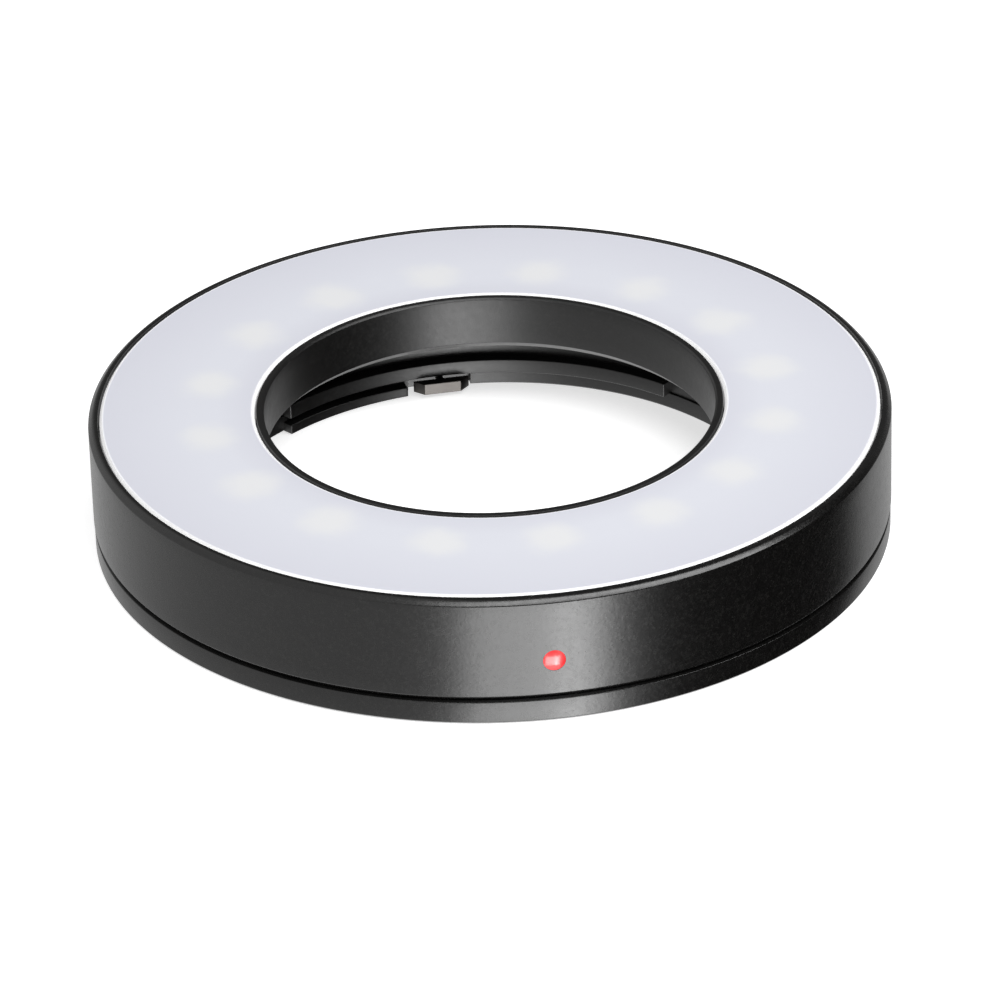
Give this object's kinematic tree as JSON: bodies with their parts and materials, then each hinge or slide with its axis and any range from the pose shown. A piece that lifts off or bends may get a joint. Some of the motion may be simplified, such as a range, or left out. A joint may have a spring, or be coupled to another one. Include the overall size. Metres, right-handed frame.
{
  "type": "led ring light",
  "caption": "Low black ring light with an opal diffuser face, a rear bayonet with a sprung catch, a red index bead and a power inlet.",
  "frame": {"origin": "centre of the rear face, on the ring's axis", "axes": "+Z along the ring's axis, the way the light shines; the red index bead faces -Y, turned 7.8 degrees towards +X"},
  "size_m": [0.0602, 0.0602, 0.0101],
  "materials": {
    "black_anodised": "satin black anodised",
    "opal_plate": "opal, fine matt",
    "clear_tape": "double sided film tape",
    "grey_pad": "soft heat pad",
    "white_board": "white solder mask",
    "lamp_case": "moulded white",
    "lamp_filling": "yellow silicone",
    "black_chip": "moulded black",
    "ceramic": "fired ceramic",
    "green_board": "green solder mask",
    "fish_paper": "insulating film",
    "plated_steel": "nickel plated",
    "black_screws": "black oxide",
    "inlet_plastic": "moulded black",
    "gold_contacts": "gold plated",
    "red_sleeve": "silicone insulation",
    "black_sleeve": "silicone insulation",
    "solder": "bright tin",
    "spring_steel": "dark stainless",
    "red_enamel": "gloss red"
  },
  "bodies": {
    "ring": {"front_housing": "black_anodised", "rear_ring": "black_anodised", "bayonet_ring": "black_anodised", "diffuser": "opal_plate", "outer_tape": "clear_tape", "inner_tape": "clear_tape", "thermal_pad": "grey_pad", "led_board": "white_board", "led_packages": "lamp_case", "led_phosphors": "lamp_filling", "led_resistors": "black_chip", "driver_chip": "black_chip", "power_inductor": "black_chip", "capacitors": "ceramic", "driver_board": "green_board", "insulating_sheet": "fish_paper", "board_screws": "plated_steel", "driver_screws": "plated_steel", "socket_shell": "plated_steel", "rear_screws": "black_screws", "bayonet_screws": "black_screws", "socket_tongue": "inlet_plastic", "socket_contacts": "gold_contacts", "red_lead": "red_sleeve", "black_lead": "black_sleeve", "solder_joints": "solder", "catch_spring": "spring_steel", "catch_plug": "spring_steel", "index_bead": "red_enamel"},
    "catch": {"catch_tongue": "spring_steel"}
  },
  "joints": [
    {"name": "catch_slide", "type": "slide", "parent": "ring", "child": "catch", "axis": [-0.1788, 0.9839, 0], "range_m": [0, 0.0009], "stiffness_N_per_m": 500, "springref_m": -0.0008, "deforming": ["catch_spring"]}
  ]
}
